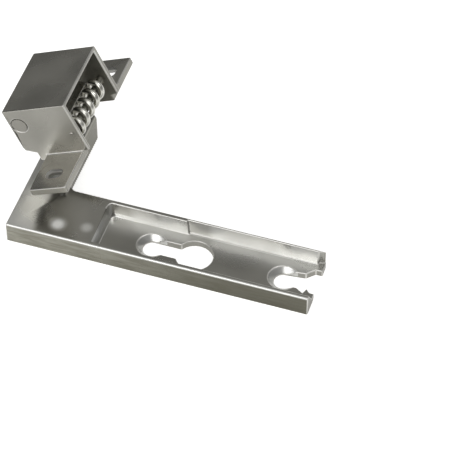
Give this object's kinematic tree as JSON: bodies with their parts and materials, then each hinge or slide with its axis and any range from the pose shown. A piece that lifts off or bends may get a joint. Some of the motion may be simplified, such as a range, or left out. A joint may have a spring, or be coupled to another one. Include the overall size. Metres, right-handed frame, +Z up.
{
  "type": "fridge door hinge",
  "caption": "Cast door hinge: a long plate with a keyhole and an open end notch carries a gooseneck arm, on which a box-shaped, spring-loaded housing with slotted flanges turns.",
  "frame": {"origin": "on the plate's underside, midway between the two door screws", "axes": "+X along the bar towards its open notch, +Y from the bar's front face towards the housing, +Z up away from the door"},
  "size_m": [0.1364, 0.0862, 0.052],
  "materials": {
    "plate_casting": "nickel-plated zinc die casting, satin to glossy",
    "housing_casting": "nickel-plated zinc die casting, satin to glossy",
    "spring_wire": "bright drawn spring wire",
    "pin_steel": "plated steel, satin",
    "washer_steel": "plain steel, dull"
  },
  "bodies": {
    "plate": {"door_plate": "plate_casting"},
    "housing": {"housing": "housing_casting", "pivot_pin": "pin_steel", "near_washer": "washer_steel", "far_washer": "washer_steel", "spring_pin": "pin_steel", "torsion_spring": "spring_wire"}
  },
  "joints": [
    {"name": "housing_hinge", "type": "hinge", "parent": "plate", "child": "housing", "pos_m": [-0.08807, 0.03481, 0.03466], "axis": [0, -1, 0], "range_deg": [-24.5, 75.5]}
  ]
}
